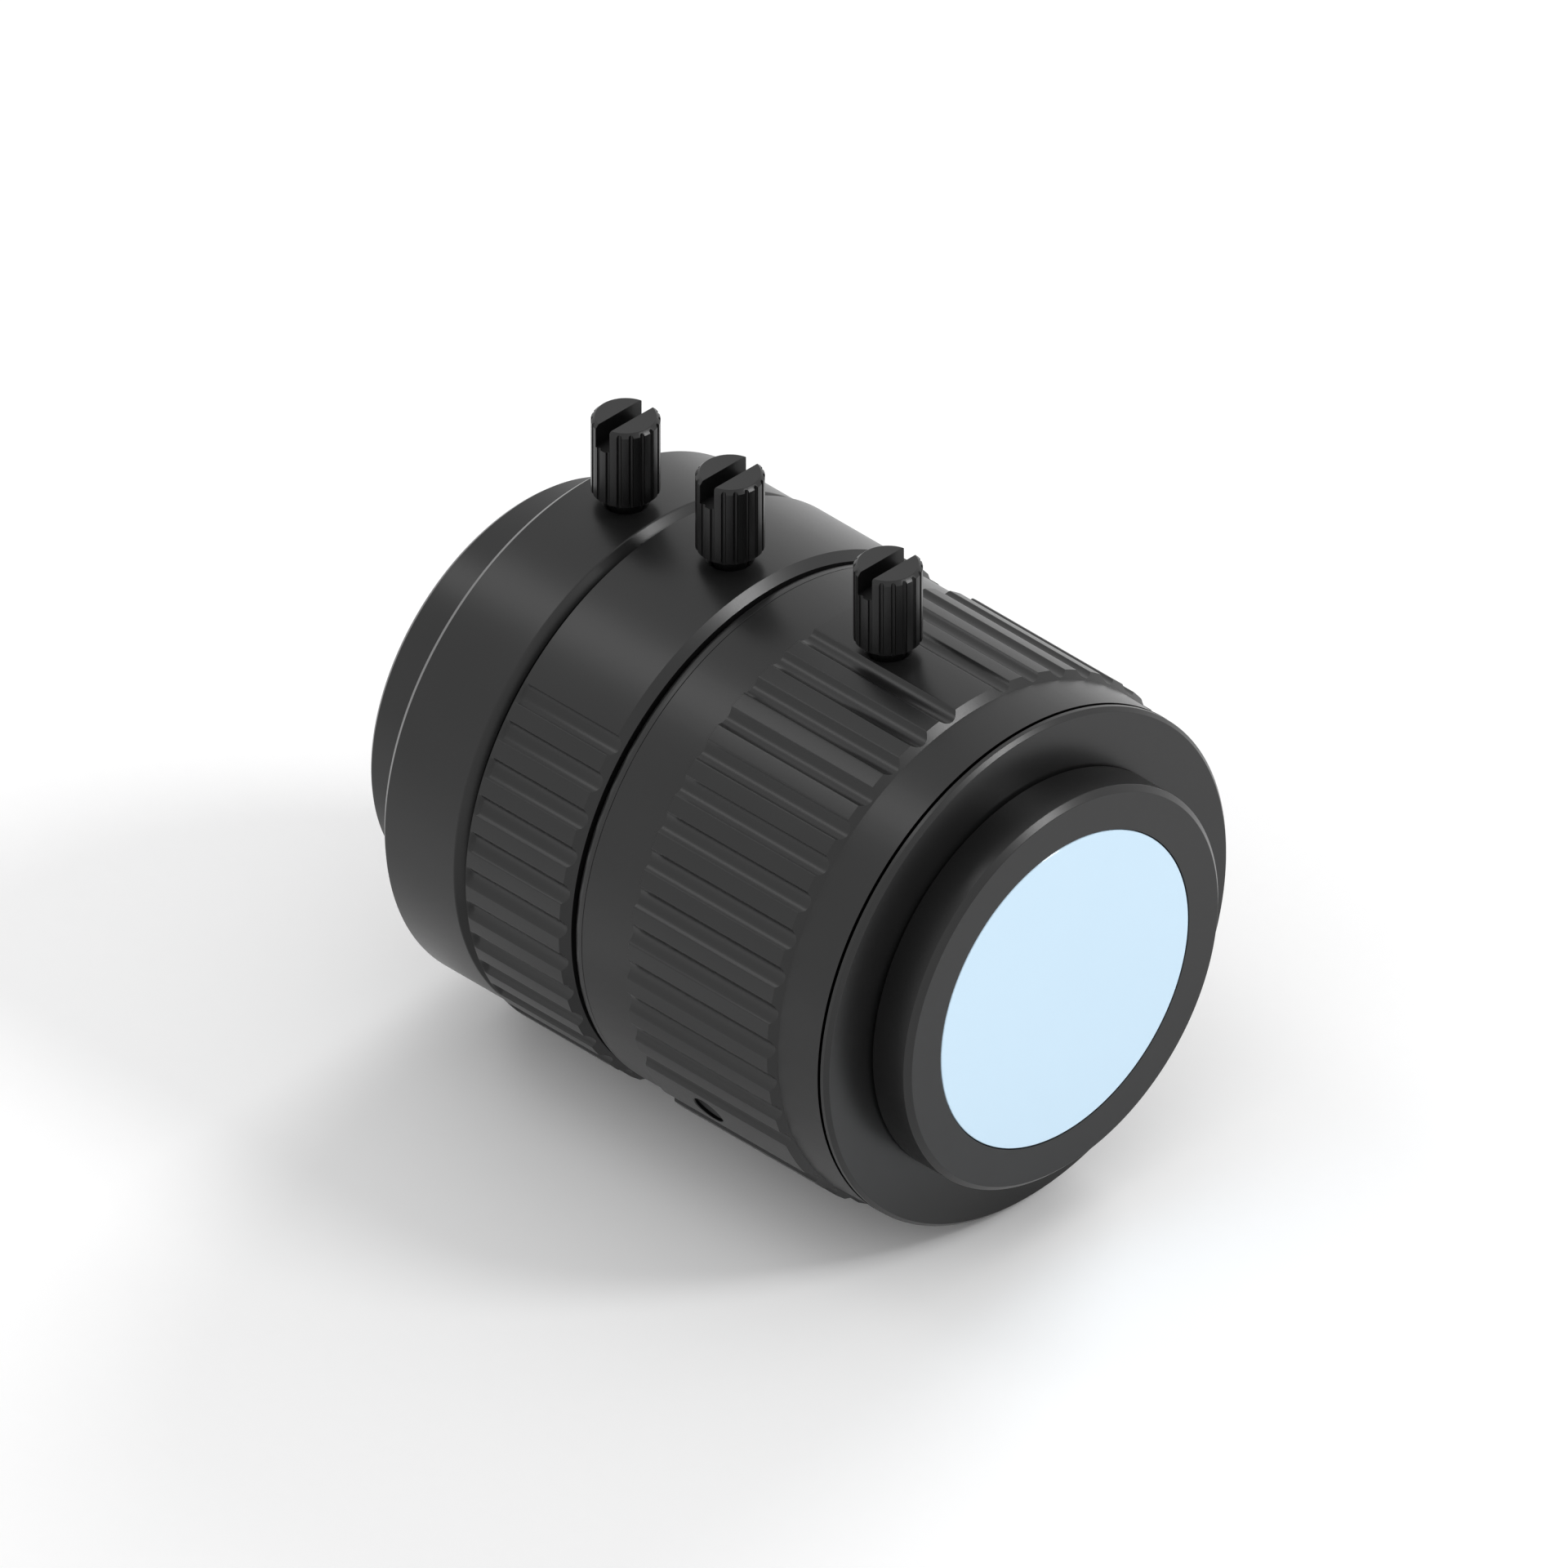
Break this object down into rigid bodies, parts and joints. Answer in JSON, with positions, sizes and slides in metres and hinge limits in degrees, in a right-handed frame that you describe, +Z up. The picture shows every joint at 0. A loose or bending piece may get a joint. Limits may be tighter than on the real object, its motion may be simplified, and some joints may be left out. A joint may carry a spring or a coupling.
{
  "type": "varifocal cctv lens",
  "caption": "Small black camera lens with a threaded rear mount, separate turning rings for iris, zoom and focus, each with a slotted lock screw, over sliding glass groups.",
  "frame": {"origin": "centre of the mount flange's seating face, on the optical axis", "axes": "+X along the optical axis, out of the mount towards the camera; +Z up through the lock screws; +Y completes the right-handed set"},
  "size_m": [0.0435, 0.0335, 0.0394],
  "materials": {
    "black_anodised": "satin black anodised",
    "blackened_steel": "blackened, semi-gloss",
    "blackened_brass": "darkened",
    "blade_steel": "matt black",
    "pin_steel": "ground",
    "blue_glass": "polished, pale blue coating",
    "lens_glass": "polished, coated"
  },
  "bodies": {
    "barrel": {"main_barrel": "black_anodised", "mount_flange": "black_anodised", "rear_glass": "blue_glass", "rear_inner_element": "lens_glass", "rear_retaining_ring": "black_anodised", "iris_base_plate": "black_anodised", "iris_retaining_ring": "black_anodised"},
    "iris_turning": {"iris_ring": "black_anodised", "iris_drive_pin": "pin_steel", "iris_cam_ring": "blackened_brass"},
    "zoom_turning": {"zoom_ring": "black_anodised"},
    "focus_turning": {"focus_ring": "black_anodised"},
    "zoom_group": {"zoom_cell": "black_anodised", "zoom_front_element": "lens_glass", "zoom_rear_element": "lens_glass", "zoom_retaining_ring": "black_anodised", "zoom_pin_1": "pin_steel", "zoom_pin_2": "pin_steel", "zoom_pin_3": "pin_steel"},
    "front_group": {"front_barrel": "black_anodised", "front_element": "lens_glass", "front_spacer": "black_anodised", "front_inner_element": "lens_glass", "front_retaining_ring": "black_anodised", "focus_pin_1": "pin_steel", "focus_pin_2": "pin_steel", "focus_pin_3": "pin_steel"},
    "iris_screw": {"iris_lock_screw": "blackened_steel"},
    "zoom_screw": {"zoom_lock_screw": "blackened_steel"},
    "focus_screw": {"focus_lock_screw": "blackened_steel"},
    "blade_1": {"iris_blade_1": "blade_steel"},
    "blade_2": {"iris_blade_2": "blade_steel"},
    "blade_3": {"iris_blade_3": "blade_steel"},
    "blade_4": {"iris_blade_4": "blade_steel"},
    "blade_5": {"iris_blade_5": "blade_steel"},
    "blade_6": {"iris_blade_6": "blade_steel"}
  },
  "joints": [
    {"name": "iris_ring_turn", "type": "hinge", "parent": "barrel", "child": "iris_turning", "pos_m": [-0.01, 0, 0], "axis": [1, 0, 0], "range_deg": [0, 40]},
    {"name": "zoom_ring_turn", "type": "hinge", "parent": "barrel", "child": "zoom_turning", "pos_m": [-0.0247, 0, 0], "axis": [1, 0, 0], "range_deg": [-40, 40]},
    {"name": "focus_ring_turn", "type": "hinge", "parent": "barrel", "child": "focus_turning", "pos_m": [-0.0325, 0, 0], "axis": [1, 0, 0], "range_deg": [-45, 45]},
    {"name": "zoom_group_slide", "type": "slide", "parent": "barrel", "child": "zoom_group", "axis": [1, 0, 0], "range_m": [-0.00181, 0.00181]},
    {"name": "front_group_slide", "type": "slide", "parent": "barrel", "child": "front_group", "axis": [1, 0, 0], "range_m": [-0.00101, 0.00101]},
    {"name": "blade_1_pivot", "type": "hinge", "parent": "barrel", "child": "blade_1", "pos_m": [-0.0092, -0.00064, 0.01128], "axis": [1, 0, 0], "range_deg": [0, 24.1]},
    {"name": "blade_2_pivot", "type": "hinge", "parent": "barrel", "child": "blade_2", "pos_m": [-0.0096, -0.01009, 0.00509], "axis": [1, 0, 0], "range_deg": [0, 24.1]},
    {"name": "blade_3_pivot", "type": "hinge", "parent": "barrel", "child": "blade_3", "pos_m": [-0.01, -0.00945, -0.0062], "axis": [1, 0, 0], "range_deg": [0, 24.1]},
    {"name": "blade_4_pivot", "type": "hinge", "parent": "barrel", "child": "blade_4", "pos_m": [-0.0104, 0.00064, -0.01128], "axis": [1, 0, 0], "range_deg": [0, 24.1]},
    {"name": "blade_5_pivot", "type": "hinge", "parent": "barrel", "child": "blade_5", "pos_m": [-0.0108, 0.01009, -0.00509], "axis": [1, 0, 0], "range_deg": [0, 24.1]},
    {"name": "blade_6_pivot", "type": "hinge", "parent": "barrel", "child": "blade_6", "pos_m": [-0.0112, 0.00945, 0.0062], "axis": [1, 0, 0], "range_deg": [0, 24.1]},
    {"name": "iris_screw_turn", "type": "hinge", "parent": "iris_turning", "child": "iris_screw", "pos_m": [-0.01128, 0, 0.0192], "axis": [0, 0, 1], "range_deg": [0, 360]},
    {"name": "zoom_screw_turn", "type": "hinge", "parent": "zoom_turning", "child": "zoom_screw", "pos_m": [-0.02403, 0, 0.0192], "axis": [0, 0, 1], "range_deg": [0, 360]},
    {"name": "focus_screw_turn", "type": "hinge", "parent": "focus_turning", "child": "focus_screw", "pos_m": [-0.03246, 0, 0.0192], "axis": [0, 0, 1], "range_deg": [0, 360]}
  ],
  "couplings": [
    {"joint": "zoom_group_slide", "follows": "zoom_ring_turn", "m_per_rad": 0.0025783},
    {"joint": "front_group_slide", "follows": "focus_ring_turn", "m_per_rad": 0.0012732},
    {"joint": "blade_1_pivot", "follows": "iris_ring_turn", "ratio": 0.6},
    {"joint": "blade_2_pivot", "follows": "iris_ring_turn", "ratio": 0.6},
    {"joint": "blade_3_pivot", "follows": "iris_ring_turn", "ratio": 0.6},
    {"joint": "blade_4_pivot", "follows": "iris_ring_turn", "ratio": 0.6},
    {"joint": "blade_5_pivot", "follows": "iris_ring_turn", "ratio": 0.6},
    {"joint": "blade_6_pivot", "follows": "iris_ring_turn", "ratio": 0.6}
  ]
}
